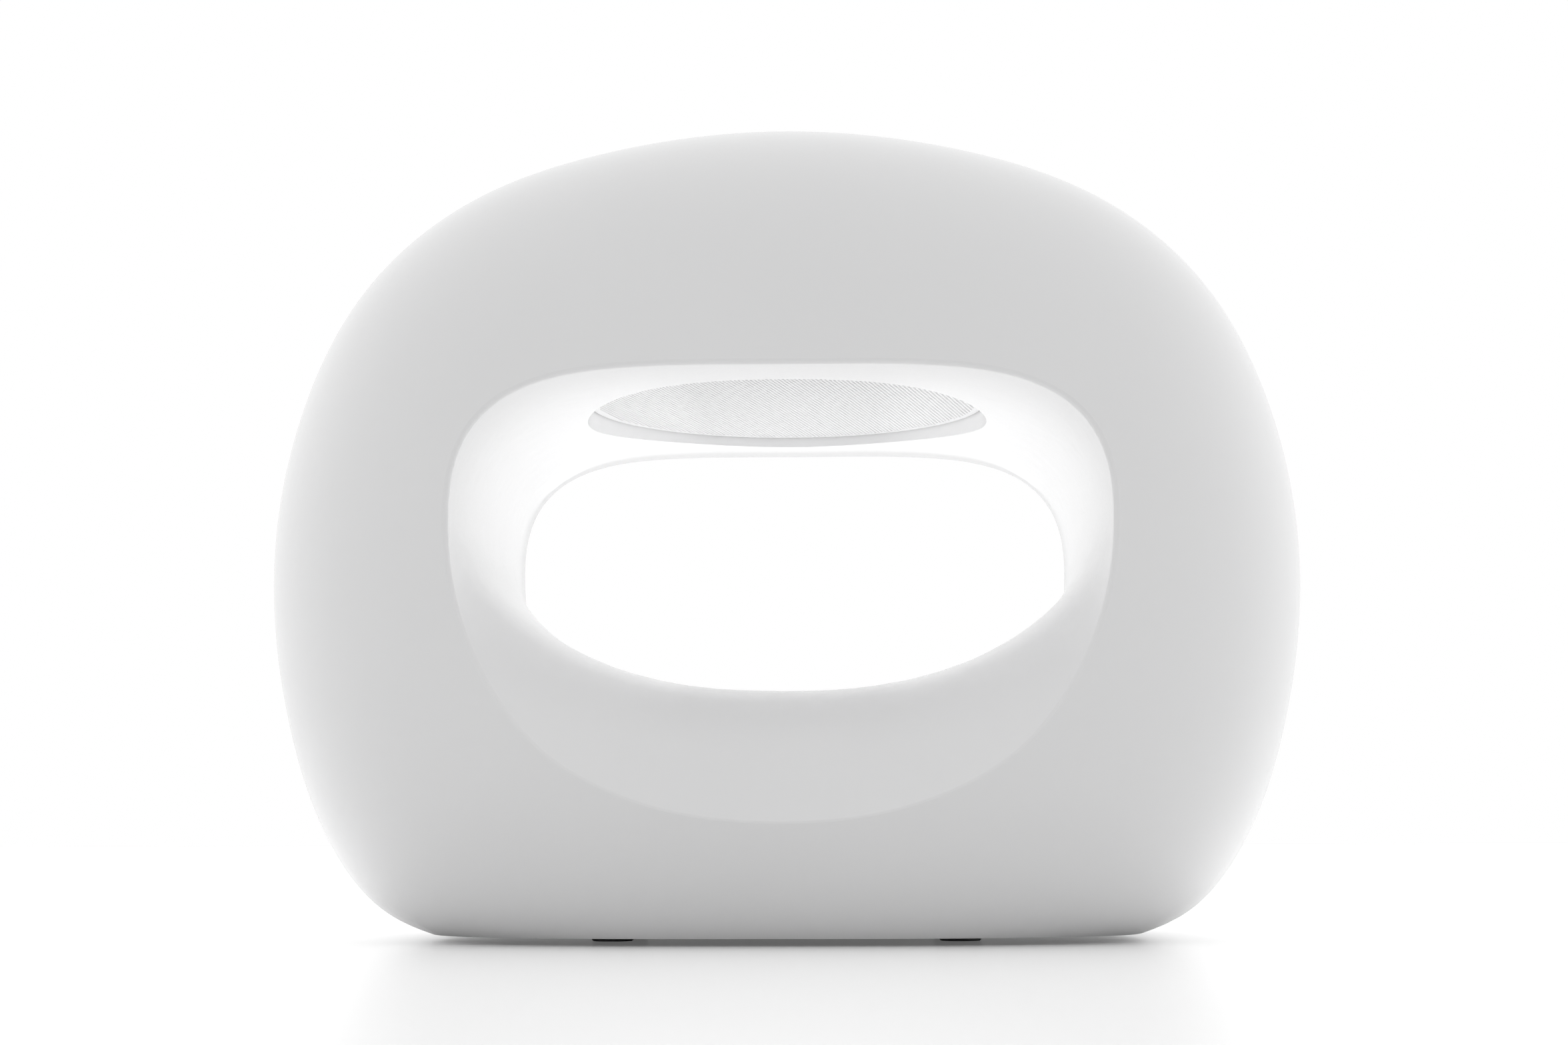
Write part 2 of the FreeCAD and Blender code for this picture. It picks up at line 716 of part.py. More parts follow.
def gland_cap():
    y = gland_face_y + gland_washer_thickness + gland_hex_height
    cap = gland_rod(gland_cap_radius, y, gland_cap_height)
    end_y = y + gland_cap_height
    nose = [e for e in cap.Edges if abs(e.BoundBox.YMin - end_y) < 1e-6 and e.Length > gland_cap_radius]
    cap = cap.makeFillet(gland_cap_radius - gland_cap_nose, nose)
    cap = cap.cut(gland_rod(gland_thread_radius + gland_hole_gap, y, gland_cap_height / 2 + gland_cap_spare))
    return cap.cut(gland_rod(gland_bore, y, gland_cap_height))


def gland_bush():
    y = gland_face_y + gland_washer_thickness + gland_hex_height - gland_seat_depth
    length = gland_cap_height / 2 + gland_seat_depth
    bush = gland_rod(gland_seat_radius - gland_bush_gap, y, length)
    return bush.cut(gland_rod(gland_bush_hole, y, length))


def clamp_places():
    return [side * block_clamp_spacing / 2 for side in (-1, 1)]


def terminal_block():
    """Two-way screw block that stands on the cover."""
    corner = Vector(block_x - block_width / 2, -block_length / 2, cover_top_z)
    block = Part.makeBox(block_width, block_length, block_height, corner)
    for x in (block_x - block_width / 2, block_x + block_width / 2 - block_step):
        shoulder = Vector(x, -block_length / 2, cover_top_z + block_height / 2)
        block = block.cut(Part.makeBox(block_step, block_length, block_height / 2, shoulder))
    well_z = cover_top_z + block_height - block_screw_length - block_screw_sink
    for y in clamp_places():
        start = Vector(block_x - block_width / 2, y, cover_top_z + block_height / 4)
        clamp = Part.makeCylinder(block_clamp_radius, block_width, start, Vector(1, 0, 0))
        well_radius = block_screw_radius + block_well_gap
        well = Part.makeCylinder(well_radius, block_height, Vector(block_x, y, well_z))
        block = block.cut(clamp).cut(well)
    return block


def terminal_screws():
    z = cover_top_z + block_height - block_screw_length - block_screw_sink
    screw = Part.makeCylinder(block_screw_radius, block_screw_length, Vector(block_x, 0, z))
    return Part.makeCompound(at_places(screw, [(0, y) for y in clamp_places()]))


def route_points():
    """The cable's route, from the block's side to just short of the tags."""
    exit_x = block_x + block_width / 2
    first = Vector(exit_x + cable_end_gap, 0, cover_top_z + block_height / 4)
    second = Vector(exit_x + cable_first_run, 0, cover_top_z + block_height / 4)
    end_z = flange_z + shelf_height + basket_wall + tag_strip_height / 2 + tag_thickness / 2
    last = Vector(tag_strip_x() + tag_strip_depth / 2 + tag_length + cable_end_gap, 0, end_z)
    beside = (tunnel_half_width + body_width / 2) / 2
    lower = [Vector(beside + x, y, z) for x, y, z in CABLE_LOWER]
    upper = [Vector(beside + x, y, ceiling_z + z) for x, y, z in CABLE_UPPER]
    return [first, second] + lower + upper + [last]


def driver_cable():
    """Two-core cable round the right side of the tunnel: straight runs joined by tangent arcs."""
    points = route_points()
    edges = []
    radii = []
    start = points[0]
    for before, corner, after in zip(points, points[1:], points[2:]):
        arriving = (corner - before).normalize()
        leaving = (after - corner).normalize()
        trim = bend_share * min((corner - before).Length, (after - corner).Length)
        entry = corner - arriving * trim
        leave = corner + leaving * trim
        turn = arriving.getAngle(leaving)
        inward = (leaving - arriving).normalize()
        radius = trim / math.tan(turn / 2)
        radii.append(round(radius))
        middle = corner + inward * (radius / math.cos(turn / 2) - radius)
        edges.append(Part.LineSegment(start, entry).toShape())
        edges.append(Part.Arc(entry, middle, leave).toShape())
        start = leave
    edges.append(Part.LineSegment(start, points[-1]).toShape())
    path = Part.Wire(edges)
    direction = (points[1] - points[0]).normalize()
    section = Part.Wire([Part.Circle(points[0], direction, cable_radius).toShape()])
    cable = path.makePipeShell([section], True, False)
    ideal = math.pi * cable_radius ** 2 * path.Length
    share = round(cable.Volume / ideal, 4)
    print("cable length", round(path.Length, 1), "volume share", share, "radii", radii)
    return cable


def export(name, shape):
    shape.exportStep("parts/" + name + ".step")
    solids = shape.Solids
    box = shape.BoundBox
    size = (round(box.XLength, 1), round(box.YLength, 1), round(box.ZLength, 1))
    print(name, len(solids), "valid" if shape.isValid() else "INVALID", round(shape.Volume / 1000, 2), size)


export("body_shell", body_shell())
export("speaker_grille", speaker_grille())
export("grille_ring", grille_ring())
export("grille_ring_screws", Part.makeCompound(on_circle(ring_screw(), ring_screw_count, ring_screw_turn)))
export("driver_gasket", driver_gasket())
export("driver_basket", driver_basket())
export("driver_screws", Part.makeCompound(on_circle(driver_screw(), driver_screw_count)))
export("driver_inserts", Part.makeCompound(on_circle(driver_insert(), driver_screw_count)))
export("surround", surround())
export("cone", cone())
export("dust_cap", dust_cap())
export("voice_coil_former", voice_coil_former())
export("voice_coil", voice_coil())
export("spider", spider())
export("top_plate", top_plate())
export("magnet", magnet())
export("back_plate", back_plate())
export("driver_tag_strip", driver_tag_strip())
export("driver_tags", driver_tags())
export("base_cover", base_cover())
export("base_seal", base_seal())
export("base_screws", Part.makeCompound(at_places(base_screw(), cover_screw_centres())))
export("base_inserts", Part.makeCompound(at_places(base_insert(), cover_screw_centres())))
export("rubber_feet", Part.makeCompound(at_places(rubber_foot(), foot_centres())))
export("foot_screws", Part.makeCompound(at_places(foot_screw(), foot_centres())))
export("gland_washer", gland_washer())
export("gland_body", gland_body())
export("gland_nut", gland_nut())
export("gland_cap", gland_cap())
export("gland_bush", gland_bush())
export("terminal_block", terminal_block())
export("terminal_screws", terminal_screws())
export("driver_cable", driver_cable())
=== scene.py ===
import bpy
import math
import numpy as np
from mathutils import Matrix, Vector


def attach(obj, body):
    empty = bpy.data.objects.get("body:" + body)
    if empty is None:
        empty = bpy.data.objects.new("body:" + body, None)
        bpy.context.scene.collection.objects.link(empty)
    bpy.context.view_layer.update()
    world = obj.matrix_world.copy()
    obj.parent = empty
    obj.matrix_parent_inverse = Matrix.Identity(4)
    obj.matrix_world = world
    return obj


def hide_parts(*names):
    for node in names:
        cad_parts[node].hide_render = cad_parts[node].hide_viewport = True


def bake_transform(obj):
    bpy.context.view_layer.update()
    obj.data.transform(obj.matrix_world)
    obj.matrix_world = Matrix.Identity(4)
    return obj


# A white outdoor speaker in the form of a pebble with a tunnel through it. Metres, +Z up, -Y is the front.

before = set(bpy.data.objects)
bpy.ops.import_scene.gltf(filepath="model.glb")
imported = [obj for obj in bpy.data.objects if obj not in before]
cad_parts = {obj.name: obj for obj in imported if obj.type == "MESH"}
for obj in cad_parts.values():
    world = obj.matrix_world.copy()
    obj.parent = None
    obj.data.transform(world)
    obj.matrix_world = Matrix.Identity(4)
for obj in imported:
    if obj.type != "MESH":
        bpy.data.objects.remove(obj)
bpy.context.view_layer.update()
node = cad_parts
bpy.ops.object.select_all(action="DESELECT")


# Camera
# A long lens close to the floor, a little right of the middle, looking slightly up at the body.

camera_place = Vector((0.0300, -1.1140, 0.0435))
camera_lens = 56.63
sensor_width = 36.0
camera_turn = math.radians(1.622)
camera_rise = math.radians(7.315)
camera_roll = math.radians(-0.136)

camera_data = bpy.data.cameras.new("camera")
camera_data.lens = camera_lens
camera_data.sensor_width = sensor_width
camera_data.sensor_fit = "HORIZONTAL"
camera = bpy.data.objects.new("camera", camera_data)
bpy.context.scene.collection.objects.link(camera)
turned = Matrix.Rotation(camera_turn, 4, "Z")
raised = Matrix.Rotation(math.pi / 2 + camera_rise, 4, "X")
rolled = Matrix.Rotation(camera_roll, 4, "Z")
camera.matrix_world = Matrix.Translation(camera_place) @ turned @ raised @ rolled
bpy.context.scene.camera = camera
bpy.context.scene.view_settings.view_transform = "Standard"


# Studio
# A bright sweep behind, above and beside the speaker, and a dark room on the side of the camera, so that
# the front is grey and the edges run into the white. The camera, gloss and glass see plain white.

studio_level = 1.25
# Share of that level by the direction's Y: 0 is towards the camera, 1 is away from it
studio_shares = ((0.0, 0.08), (0.05, 0.10), (0.15, 0.66), (0.25, 1.0), (0.6, 1.0), (1.0, 0.84))

studio = bpy.data.worlds.new("studio")
studio.use_nodes = True
bpy.context.scene.world = studio
nodes = studio.node_tree.nodes
links = studio.node_tree.links
direction = nodes.new("ShaderNodeTexCoord")
direction_parts = nodes.new("ShaderNodeSeparateXYZ")
links.new(direction.outputs["Generated"], direction_parts.inputs[0])
position = nodes.new("ShaderNodeMapRange")
position.inputs["From Min"].default_value = -1.0
links.new(direction_parts.outputs["Y"], position.inputs["Value"])
shade = nodes.new("ShaderNodeValToRGB")
shade.color_ramp.interpolation = "B_SPLINE"
while len(shade.color_ramp.elements) < len(studio_shares):
    shade.color_ramp.elements.new(0.5)
for stop, (place, share) in zip(shade.color_ramp.elements, studio_shares):
    stop.position = place
    stop.color = (share, share, share, 1)
links.new(position.outputs[0], shade.inputs["Fac"])
level = nodes.new("ShaderNodeMath")
level.operation = "MULTIPLY"
level.inputs[1].default_value = studio_level
links.new(shade.outputs[0], level.inputs[0])
room = nodes["Background"]
room.inputs["Color"].default_value = (1, 1, 1, 1)
links.new(level.outputs[0], room.inputs["Strength"])
backdrop = nodes.new("ShaderNodeBackground")
backdrop.inputs["Color"].default_value = (1, 1, 1, 1)
backdrop.inputs["Strength"].default_value = 1.0
ray = nodes.new("ShaderNodeLightPath")
seen = ray.outputs["Is Camera Ray"]
for kind in ("Is Glossy Ray", "Is Transmission Ray"):
    either = nodes.new("ShaderNodeMath")
    either.operation = "MAXIMUM"
    links.new(seen, either.inputs[0])
    links.new(ray.outputs[kind], either.inputs[1])
    seen = either.outputs[0]
choose = nodes.new("ShaderNodeMixShader")
links.new(seen, choose.inputs["Fac"])
links.new(room.outputs[0], choose.inputs[1])
links.new(backdrop.outputs[0], choose.inputs[2])
links.new(choose.outputs[0], nodes["World Output"].inputs["Surface"])


# Lamps
# Two soft boxes beside the speaker light its edges, and strips on the floor its lower front and corners.
# The four in the tunnel stand for the white sweep behind it and for what its walls throw on each other.

# Width and height in metres, power in watts, place and aim of each
lamps = {
    "side_box_left": (0.60, 0.48, 0.74, (-0.75, 0.10, 0.22), (1, 0, 0)),
    "side_box_right": (0.60, 0.48, 0.74, (0.75, 0.10, 0.22), (-1, 0, 0)),
    "floor_strip": (0.50, 0.12, 0.032, (0, -0.30, 0.004), (0, 0, 1)),
    "floor_left": (0.08, 0.26, 0.036, (-0.23, 0.02, 0.004), (0, 0, 1)),
    "floor_right": (0.08, 0.26, 0.036, (0.23, 0.02, 0.004), (0, 0, 1)),
    "tunnel_back": (0.24, 0.05, 0.034, (0, 0.11, 0.20), (0, -1, 0)),
    "tunnel_floor": (0.22, 0.20, 0.088, (0, 0, 0.165), (0, 0, 1)),
    "tunnel_left": (0.10, 0.15, 0.022, (-0.04, 0, 0.17), (-1, 0, 0)),
    "tunnel_right": (0.10, 0.15, 0.022, (0.04, 0, 0.17), (1, 0, 0)),
}

for name, (width, height, power, place, aim) in lamps.items():
    light = bpy.data.lights.new(name, "AREA")
    light.shape = "RECTANGLE"
    light.size = width
    light.size_y = height
    light.energy = power
    lamp = bpy.data.objects.new(name, light)
    lamp.location = place
    lamp.rotation_euler = Vector(aim).to_track_quat("-Z", "Z" if aim[2] == 0 else "Y").to_euler()
    lamp.visible_camera = False
    lamp.visible_glossy = False
    bpy.context.scene.collection.objects.link(lamp)


# Floor
# White coated board with a soft gloss. It holds the shadow under the body, and elsewhere it meets the
# white of the backdrop without a line.

floor_size = 30.0
floor_white = 0.88
floor_glow = 0.10
floor_roughness = 0.22

bpy.ops.mesh.primitive_plane_add(size=floor_size)
floor = bpy.context.object
floor.name = "floor"
paint = bpy.data.materials.new("floor_white")
paint.use_nodes = True
nodes = paint.node_tree.nodes
links = paint.node_tree.links
board = nodes["Principled BSDF"]
board.inputs["Base Color"].default_value = (floor_white, floor_white, floor_white, 1)
board.inputs["Roughness"].default_value = floor_roughness
glow = nodes.new("ShaderNodeEmission")
ray = nodes.new("ShaderNodeLightPath")
strength = nodes.new("ShaderNodeMath")
strength.operation = "MULTIPLY"
strength.inputs[1].default_value = floor_glow
links.new(ray.outputs["Is Camera Ray"], strength.inputs[0])
links.new(strength.outputs[0], glow.inputs["Strength"])
together = nodes.new("ShaderNodeAddShader")
links.new(board.outputs[0], together.inputs[0])
links.new(glow.outputs[0], together.inputs[1])
links.new(together.outputs[0], nodes["Material Output"].inputs["Surface"])
floor.data.materials.append(paint)


# Housing
# One rotationally moulded skin of white polyethylene, 5 mm thick, round the outside and through the
# tunnel. It comes from the mould with a satin face and the faintest orange peel.

housing_white = (0.78, 0.78, 0.783)
housing_roughness = 0.24


def new_finish(name):
    """A material with its nodes, its links, its skin and the piece's own coordinates."""
    finish = bpy.data.materials.new(name)
    finish.use_nodes = True
    nodes = finish.node_tree.nodes
    place = nodes.new("ShaderNodeTexCoord").outputs["Object"]
    return finish, nodes, finish.node_tree.links, nodes["Principled BSDF"], place


def cloudy(nodes, links, place, scale, detail):
    """A noise pattern, at so many lumps to the metre."""
    noise = nodes.new("ShaderNodeTexNoise")
    noise.inputs["Scale"].default_value = scale
    noise.inputs["Detail"].default_value = detail
    links.new(place, noise.inputs["Vector"])
    return noise.outputs["Fac"]


def tinted(nodes, links, skin, pattern, first, second):
    """Colours the skin from one (position in the pattern, colour) to another."""
    tint = nodes.new("ShaderNodeValToRGB")
    for stop, (position, colour) in zip(tint.color_ramp.elements, (first, second)):
        stop.position = position
        stop.color = (*colour, 1)
    links.new(pattern, tint.inputs["Fac"])
    links.new(tint.outputs["Color"], skin.inputs["Base Color"])


def polished(nodes, links, skin, pattern, lowest, highest):
    """Lets the skin's roughness follow the pattern between two values."""
    shine = nodes.new("ShaderNodeMapRange")
    shine.inputs["To Min"].default_value = lowest
    shine.inputs["To Max"].default_value = highest
    links.new(pattern, shine.inputs["Value"])
    links.new(shine.outputs[0], skin.inputs["Roughness"])


def embossed(nodes, links, skin, pattern, strength, depth):
    """Raises the pattern in the skin by a depth in metres."""
    bump = nodes.new("ShaderNodeBump")
    bump.inputs["Strength"].default_value = strength
    bump.inputs["Distance"].default_value = depth
    links.new(pattern, bump.inputs["Height"])
    links.new(bump.outputs[0], skin.inputs["Normal"])


def moulded_plastic(name, colour, roughness, grain, depth):
    """A moulded or coated face: its colour drifts a little, and a fine grain breaks up the gloss."""
    finish, nodes, links, skin, place = new_finish(name)
    faded = [c * 0.985 for c in colour]
    drift = cloudy(nodes, links, place, scale=9.0, detail=2.0)
    tinted(nodes, links, skin, drift, first=(0.3, faded), second=(0.7, colour))
    peel = cloudy(nodes, links, place, scale=1 / grain, detail=3.0)
    polished(nodes, links, skin, peel, lowest=roughness - 0.03, highest=roughness + 0.03)
    embossed(nodes, links, skin, peel, strength=0.3, depth=depth)
    return finish


housing_satin = moulded_plastic(
    "housing_satin", housing_white, roughness=housing_roughness, grain=0.0012, depth=0.00004
)
node["body_shell"].material_slots[0].material = housing_satin


# Cable gland
# Light grey nylon: a threaded body with a hexagon, its nut and washer, and a cap whose flutes give the
# fingers hold. The cap squeezes a rubber bush round a cord. No cord is fitted, so the bush is open.

gland_height = 0.0300
cap_start = 0.1105
cap_corners = 48
flute_depth = 0.0004
flute_edge = 0.00012
weld = 0.000001
crisp_angle = math.radians(30)
# Radius and distance from the cap's open end: bore, seat, open end, side, rounded nose
cap_profile = (
    (0.0036, 0.0043), (0.0062, 0.0043), (0.0062, 0.0), (0.0077, 0.0), (0.0080, 0.0003),
    (0.0080, 0.0054), (0.0078, 0.0064), (0.0072, 0.0073), (0.0063, 0.0079), (0.0054, 0.0080),
    (0.0039, 0.0080), (0.0036, 0.0077),
)
nylon_grey = (0.60, 0.61, 0.62)
rubber_grey = (0.045, 0.045, 0.047)


def deselect_mesh(vertices=False, edges=False, faces=False):
    """Leaves nothing of the active mesh selected, to select next by its vertices, edges or faces."""
    bpy.context.tool_settings.mesh_select_mode = (vertices, edges, faces)
    bpy.ops.object.mode_set(mode="EDIT")
    bpy.ops.mesh.select_all(action="DESELECT")
    bpy.ops.object.mode_set(mode="OBJECT")


def draw_out(profile):
    """Draws the selected ring of edges through (radius, height) points, the first of which is its own."""
    for (radius, height), (next_radius, next_height) in zip(profile, profile[1:]):
        bpy.ops.mesh.extrude_region_move(TRANSFORM_OT_translate={"value": (0, 0, next_height - height)})
        spread = next_radius / radius
        bpy.ops.transform.resize(value=(spread, spread, 1), center_override=(0, 0, 0))


def turned_ring(name, corners, profile):
    """A closed ring about Z, drawn out along a profile and back to its start."""
    radius, height = profile[0]
    bpy.ops.mesh.primitive_circle_add(vertices=corners, radius=radius, location=(0, 0, height))
    piece = bpy.context.object
    piece.name = name
    bpy.ops.object.transform_apply(location=True, rotation=True, scale=True)
    bpy.ops.object.mode_set(mode="EDIT")
    bpy.context.tool_settings.mesh_select_mode = (False, True, False)
    bpy.ops.mesh.select_all(action="SELECT")
    draw_out((*profile, profile[0]))
    bpy.ops.mesh.select_all(action="SELECT")
    bpy.ops.mesh.remove_doubles(threshold=weld)
    bpy.ops.mesh.normals_make_consistent(inside=False)
    bpy.ops.object.mode_set(mode="OBJECT")
    return piece


def rubber(name, colour):
    """Moulded rubber: dull, with a pale bloom in patches and a fine dry grain."""
    finish, nodes, links, skin, place = new_finish(name)
    skin.inputs["Specular IOR Level"].default_value = 0.35
    pale = [c * 1.35 + 0.01 for c in colour]
    bloom = cloudy(nodes, links, place, scale=140.0, detail=5.0)
    tinted(nodes, links, skin, bloom, first=(0.35, colour), second=(0.8, pale))
    polished(nodes, links, skin, bloom, lowest=0.68, highest=0.86)
    grain = cloudy(nodes, links, place, scale=2600.0, detail=2.0)
    embossed(nodes, links, skin, grain, strength=0.4, depth=0.00003)
    return finish


gland_nylon = moulded_plastic("gland_nylon_satin", nylon_grey, roughness=0.45, grain=0.0006, depth=0.00003)
black_rubber = rubber("black_rubber", rubber_grey)
cap = turned_ring("gland_cap_fluted", cap_corners, cap_profile)
outer_wall = max(radius for radius, height in cap_profile)
tolerance = 0.01

# Flutes are sunk in every other face of the cap's side
deselect_mesh(faces=True)
for face in cap.data.polygons:
    corner = math.floor(math.atan2(face.center.y, face.center.x) / (2 * math.pi) * cap_corners)
    upright = abs(face.normal.z) < tolerance
    outermost = math.hypot(face.center.x, face.center.y) > outer_wall * (1 - 2 * tolerance)
    face.select = upright and outermost and corner % 2 == 0
bpy.ops.object.mode_set(mode="EDIT")
bpy.ops.mesh.inset(thickness=flute_edge, depth=-flute_depth, use_individual=True)
bpy.ops.object.mode_set(mode="OBJECT")
cap.rotation_euler = (-math.pi / 2, 0, 0)
cap.location = (0, cap_start, gland_height)
bpy.ops.object.transform_apply(location=True, rotation=True, scale=True)
bpy.ops.object.shade_smooth_by_angle(angle=crisp_angle)
cap.data.materials.append(gland_nylon)
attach(cap, "housing")
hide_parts("gland_cap")
bpy.ops.object.select_all(action="DESELECT")
for name in ("gland_body", "gland_nut"):
    node[name].material_slots[0].material = gland_nylon
for name in ("gland_washer", "gland_bush"):
    node[name].material_slots[0].material = black_rubber


# Driver, frame and fixings
# A pressed steel basket, painted black, screwed through a foam gasket into brass inserts that are moulded
# into the ledge. Its magnet system is a ferrite ring between two zinc plated steel plates.

basket_black = (0.018, 0.018, 0.019)
ferrite_grey = (0.035, 0.035, 0.038)
zinc = (0.62, 0.63, 0.65)
stainless = (0.60, 0.59, 0.57)
brass = (0.72, 0.50, 0.22)


def bare_metal(name, colour, roughness, streak):
    """Bare metal: its colour and shine vary in fine streaks from turning and handling."""
    finish, nodes, links, skin, place = new_finish(name)
    skin.inputs["Metallic"].default_value = 1.0
    stretch = nodes.new("ShaderNodeMapping")
    stretch.inputs["Scale"].default_value = (1.0, 1.0, 6.0)
    links.new(place, stretch.inputs["Vector"])
    dulled = [c * 0.86 for c in colour]
    streaks = cloudy(nodes, links, stretch.outputs[0], scale=1 / streak, detail=4.0)
    tinted(nodes, links, skin, streaks, first=(0.3, dulled), second=(0.65, colour))
    polished(nodes, links, skin, streaks, lowest=roughness - 0.08, highest=roughness + 0.08)
    embossed(nodes, links, skin, streaks, strength=0.15, depth=0.00001)
    return finish


stainless_steel = bare_metal("stainless_steel", stainless, roughness=0.30, streak=0.0008)
zinc_plate = bare_metal("zinc_plate", zinc, roughness=0.36, streak=0.0020)
brass_turned = bare_metal("brass_turned", brass, roughness=0.30, streak=0.0006)
node["driver_basket"].material_slots[0].material = moulded_plastic(
    "basket_enamel", basket_black, roughness=0.40, grain=0.0008, depth=0.00003
)
node["magnet"].material_slots[0].material = moulded_plastic(
    "ferrite_sintered", ferrite_grey, roughness=0.62, grain=0.0005, depth=0.00006
)
node["driver_gasket"].material_slots[0].material = black_rubber
node["driver_screws"].material_slots[0].material = stainless_steel
for name in ("top_plate", "back_plate"):
    node[name].material_slots[0].material = zinc_plate
for name in ("driver_inserts", "base_inserts", "driver_tags"):
    node[name].material_slots[0].material = brass_turned


# Driver, moving parts
# A black polypropylene cone and dust cap hang in a butyl rubber half roll and a cloth spider. The voice coil
# is enamelled copper wire on a foil former, free in the gap of the magnet.

cone_black = (0.022, 0.022, 0.024)
cap_black = (0.016, 0.016, 0.017)
foil_amber = (0.42, 0.24, 0.08)
wire_copper = (0.78, 0.33, 0.14)
wire_pitch = 0.00045


def ribbed(name, colour, roughness, pitch, depth, metallic, directions):
    """Fine parallel ribs in each of the directions given: wound wire, or the threads of a cloth."""
    finish, nodes, links, skin, place = new_finish(name)
    skin.inputs["Metallic"].default_value = metallic
    skin.inputs["Roughness"].default_value = roughness
    heights = []
    for along in directions:
        ribs = nodes.new("ShaderNodeTexWave")
        ribs.wave_type = "BANDS"
        ribs.bands_direction = along
        # At scale 1 a wave texture repeats every pi / 10
        ribs.inputs["Scale"].default_value = math.pi / 10 / pitch
        ribs.inputs["Distortion"].default_value = 0.4
        links.new(place, ribs.inputs["Vector"])
        heights.append(ribs.outputs["Fac"])
    height = heights[0]
    if len(heights) > 1:
        crossing = nodes.new("ShaderNodeMath")
        crossing.operation = "MAXIMUM"
        links.new(heights[0], crossing.inputs[0])
        links.new(heights[1], crossing.inputs[1])
        height = crossing.outputs[0]
    # Painted shade: the colour darkens to under half in the grooves between the ribs
    groove_painted_shade = [c * 0.45 for c in colour]
    tinted(nodes, links, skin, height, first=(0.0, groove_painted_shade), second=(1.0, colour))
    embossed(nodes, links, skin, height, strength=0.6, depth=depth)
    return finish


node["cone"].material_slots[0].material = moulded_plastic(
    "cone_plastic", cone_black, roughness=0.50, grain=0.0010, depth=0.00008
)
node["dust_cap"].material_slots[0].material = moulded_plastic(
    "cap_plastic", cap_black, roughness=0.34, grain=0.0010, depth=0.00003
)
node["voice_coil"].material_slots[0].material = ribbed(
    "copper_winding", wire_copper, roughness=0.30, pitch=wire_pitch, depth=0.00010, metallic=1.0,
    directions=("Z",),
)
node["voice_coil_former"].material_slots[0].material = moulded_plastic(
    "former_foil_amber", foil_amber, roughness=0.30, grain=0.0020, depth=0.00002
)


# Surround and spider
# The rubber half roll joins the frame's flange to the cone's edge, and the corrugated cloth disc joins its
# shelf to the voice coil's tube. Both are glued at each edge and bend between as the cone moves.

cloth_tan = (0.52, 0.38, 0.20)
thread_pitch = 0.0007
roll_centre_radius = 0.0655
roll_radius = 0.0055
roll_steps = 12
rubber_thickness = 0.0008
rubber_top = 0.2513
rubber_outer_radius = 0.0740
rubber_inner_radius = 0.0550
cloth_outer_radius = 0.0545
cloth_land_radius = 0.0490
cloth_inner_radius = 0.0132
cloth_top = 0.2760
cloth_thickness = 0.0006
wave_height = 0.0016
wave_count = 4
sector_count = 36
steps_in_sector = 4
seam_weld = 0.00001
soft_angle = math.radians(40)


def soft_ring(name, profile):
    """A closed ring of equal sectors, drawn along the profile between its fixed and moving edge and welded
    into one.
    """
    ring = turned_ring(name, sector_count * steps_in_sector, profile)
    deselect_mesh(faces=True)
    for face in ring.data.polygons:
        face.select = abs(math.atan2(face.center.y, face.center.x)) > math.pi / sector_count
    bpy.ops.object.mode_set(mode="EDIT")
    bpy.ops.mesh.delete(type="FACE")
    bpy.ops.object.mode_set(mode="OBJECT")
    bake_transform(ring)
    bpy.ops.object.select_all(action="DESELECT")
    for number in range(1, sector_count):
        sector = ring.copy()
        sector.data = ring.data.copy()
        sector.data.transform(Matrix.Rotation(number * 2 * math.pi / sector_count, 4, "Z"))
        bpy.context.scene.collection.objects.link(sector)
        sector.select_set(True)
    ring.select_set(True)
    bpy.context.view_layer.objects.active = ring
    bpy.ops.object.join()
    bpy.ops.object.mode_set(mode="EDIT")
    bpy.ops.mesh.select_all(action="SELECT")
    bpy.ops.mesh.remove_doubles(threshold=seam_weld)
    bpy.ops.mesh.normals_make_consistent(inside=False)
    bpy.ops.object.mode_set(mode="OBJECT")
    bpy.ops.object.shade_smooth_by_angle(angle=soft_angle)
    return ring


def half_roll(radius, height, step):
    """A point on the roll's arc, which bulges down towards the grille."""
    angle = math.pi * step / roll_steps
    return roll_centre_radius + radius * math.cos(angle), height - radius * math.sin(angle)


rubber_bottom = rubber_top - rubber_thickness
outer_roll_radius = roll_radius + rubber_thickness
upper_arc = [half_roll(roll_radius, rubber_top, step) for step in range(roll_steps + 1)]
lower_arc = [half_roll(outer_roll_radius, rubber_top, step) for step in range(roll_steps, -1, -1)]
lower_arc = [(radius, height) for radius, height in lower_arc if height < rubber_bottom]
surround = soft_ring(
    "surround_roll",
    (
        (rubber_outer_radius, rubber_top),
        *upper_arc,
        (rubber_inner_radius, rubber_top),
        (rubber_inner_radius, rubber_bottom),
        *lower_arc,
        (rubber_outer_radius, rubber_bottom),
    ),
)
surround.data.materials.append(black_rubber)
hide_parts("surround")

wave_step = (cloth_land_radius - cloth_inner_radius) / (2 * wave_count)
cloth_upper = [(cloth_outer_radius, cloth_top)]
for fold in range(2 * wave_count + 1):
    cloth_upper.append((cloth_land_radius - fold * wave_step, cloth_top - wave_height * (fold % 2)))
cloth_lower = [(radius, height - cloth_thickness) for radius, height in reversed(cloth_upper)]
spider = soft_ring("spider_disc", (*cloth_upper, *cloth_lower))
spider.data.materials.append(ribbed(
    "spider_weave", cloth_tan, roughness=0.85, pitch=thread_pitch, depth=0.00012, metallic=0.0,
    directions=("X", "Y"),
))
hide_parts("spider")


# Wiring
# A fibre board strip on the basket carries two tags. A round black cable joins them to a two-way screw
# block on the base cover, inside the housing.

board_brown = (0.20, 0.10, 0.045)
block_white = (0.62, 0.61, 0.57)
jacket_black = (0.020, 0.020, 0.021)

